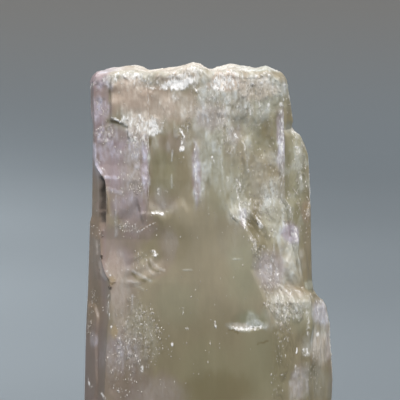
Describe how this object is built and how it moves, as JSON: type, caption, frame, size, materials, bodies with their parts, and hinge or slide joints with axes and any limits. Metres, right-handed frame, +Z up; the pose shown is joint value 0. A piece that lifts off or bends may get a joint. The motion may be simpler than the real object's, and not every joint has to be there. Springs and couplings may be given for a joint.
{
  "type": "hiddenite crystal",
  "caption": "Stout upright rough gem crystal: a flattened prism, cloudy green to mauve, with a broken top, an etched bevel, a side shoulder and a flat cut base that it stands on.",
  "frame": {"origin": "middle of the flat cut at the base, which is the bottom centre of the bounding box", "axes": "+Z up along the crystal's long prism edges, +X to the right seen from in front of the broad front face, +Y to the back, so that the front faces -Y"},
  "size_m": [0.031, 0.0179, 0.0607],
  "materials": {
    "crystal": "cloudy, part see-through olive green to mauve spodumene, glassy faces with frosted etched areas"
  },
  "bodies": {
    "root": {"crystal": "crystal"}
  },
  "joints": []
}
